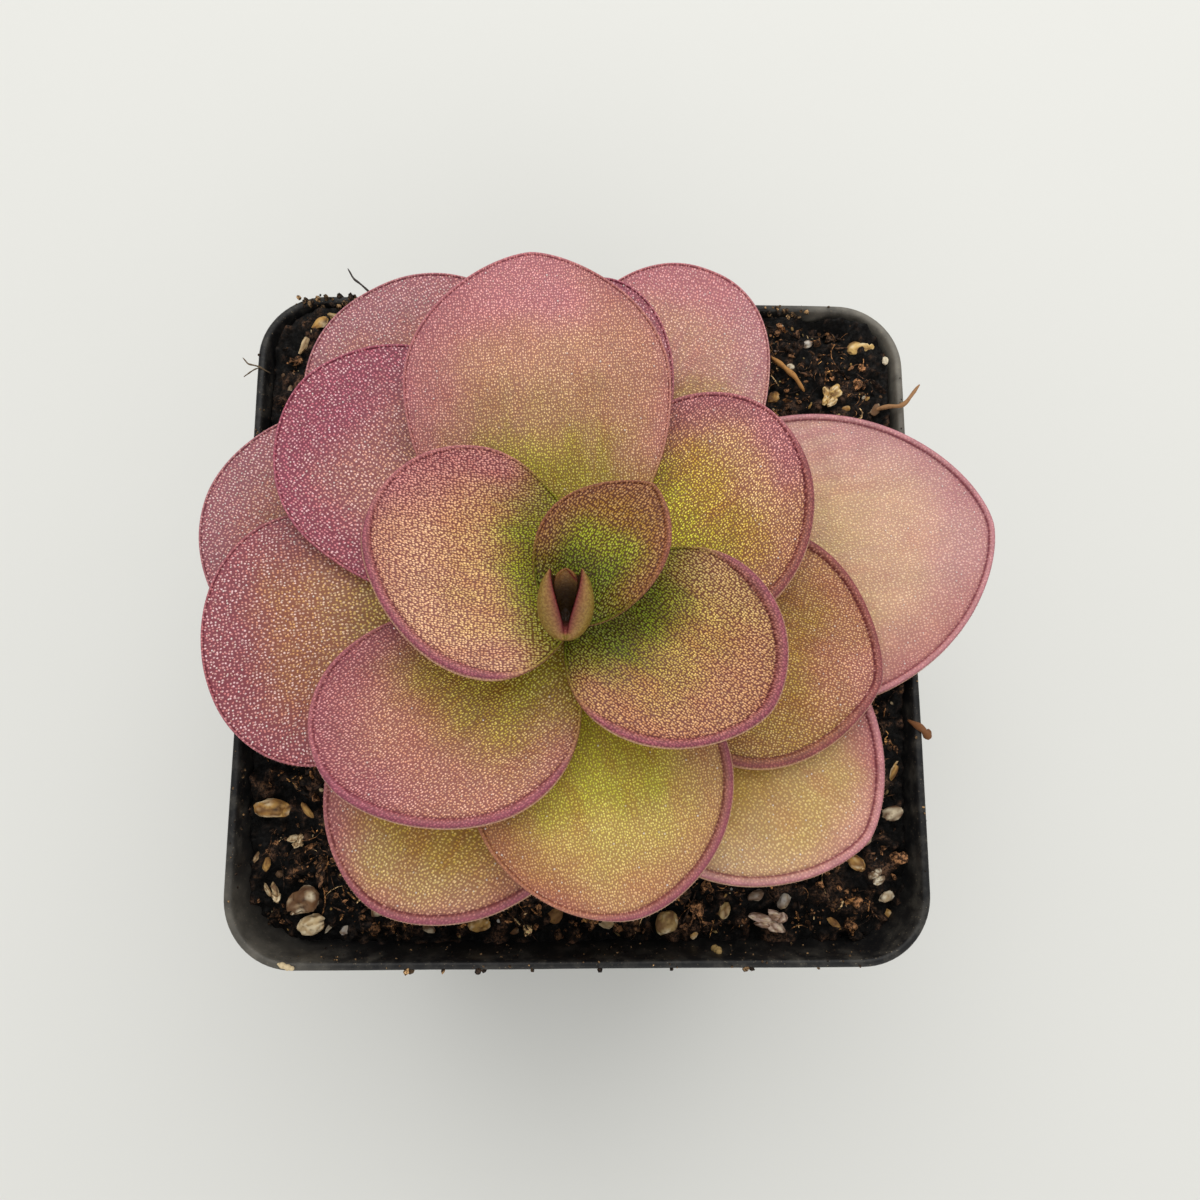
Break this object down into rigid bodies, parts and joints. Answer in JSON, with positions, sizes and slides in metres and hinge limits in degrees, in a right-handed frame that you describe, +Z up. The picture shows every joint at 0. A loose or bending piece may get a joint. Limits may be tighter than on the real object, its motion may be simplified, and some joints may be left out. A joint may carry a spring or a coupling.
{
  "type": "butterwort",
  "caption": "Butterwort rosette of fleshy oval leaves with rolled pink rims and a folded central bud, in a square nursery pot of peat soil with bark and perlite chips.",
  "frame": {"origin": "centre of the pot's flat bottom, on the surface that the pot stands on", "axes": "+Z up; +X to the right and +Y away from the viewer, who looks down on the pot; the sides of the square pot lie along X and Y"},
  "size_m": [0.089, 0.0791, 0.0876],
  "materials": {
    "black_plastic": "thin black nursery-pot plastic with a dull sheen",
    "peat_soil": null,
    "bark": "dry tan bark chip, rough",
    "perlite": "pale porous perlite chip, rough",
    "crown_green": null,
    "young_leaf": "dark green to tan fleshy leaf, covered in fine pale glands",
    "inner_leaf": "yellow-green to peach fleshy leaf with a mauve rim, covered in fine pale glands",
    "middle_leaf": "lime to peach and pink fleshy leaf with a mauve rim and dew on its glands",
    "outer_leaf": "salmon to magenta fleshy leaf with a mauve rim and dew on its glands",
    "bud_tan": "tan folded young leaf with a mauve lip"
  },
  "bodies": {
    "root": {"pot": "black_plastic", "soil": "peat_soil", "crown": "crown_green", "leaf_01": "young_leaf", "leaf_02": "inner_leaf", "leaf_03": "inner_leaf", "leaf_04": "middle_leaf", "leaf_05": "middle_leaf", "leaf_06": "middle_leaf", "leaf_07": "middle_leaf", "leaf_08": "middle_leaf", "leaf_09": "middle_leaf", "leaf_10": "middle_leaf", "leaf_11": "middle_leaf", "leaf_12": "outer_leaf", "leaf_13": "outer_leaf", "leaf_14": "outer_leaf", "leaf_15": "outer_leaf", "leaf_16": "outer_leaf", "leaf_17": "outer_leaf", "bud": "bud_tan", "bud_inner": "bud_tan", "chip_01": "bark", "chip_02": "perlite", "chip_03": "perlite", "chip_04": "bark", "chip_05": "perlite", "chip_06": "bark", "chip_07": "bark", "chip_08": "perlite", "chip_09": "perlite", "chip_10": "bark", "chip_11": "bark", "chip_12": "bark"}
  },
  "joints": []
}
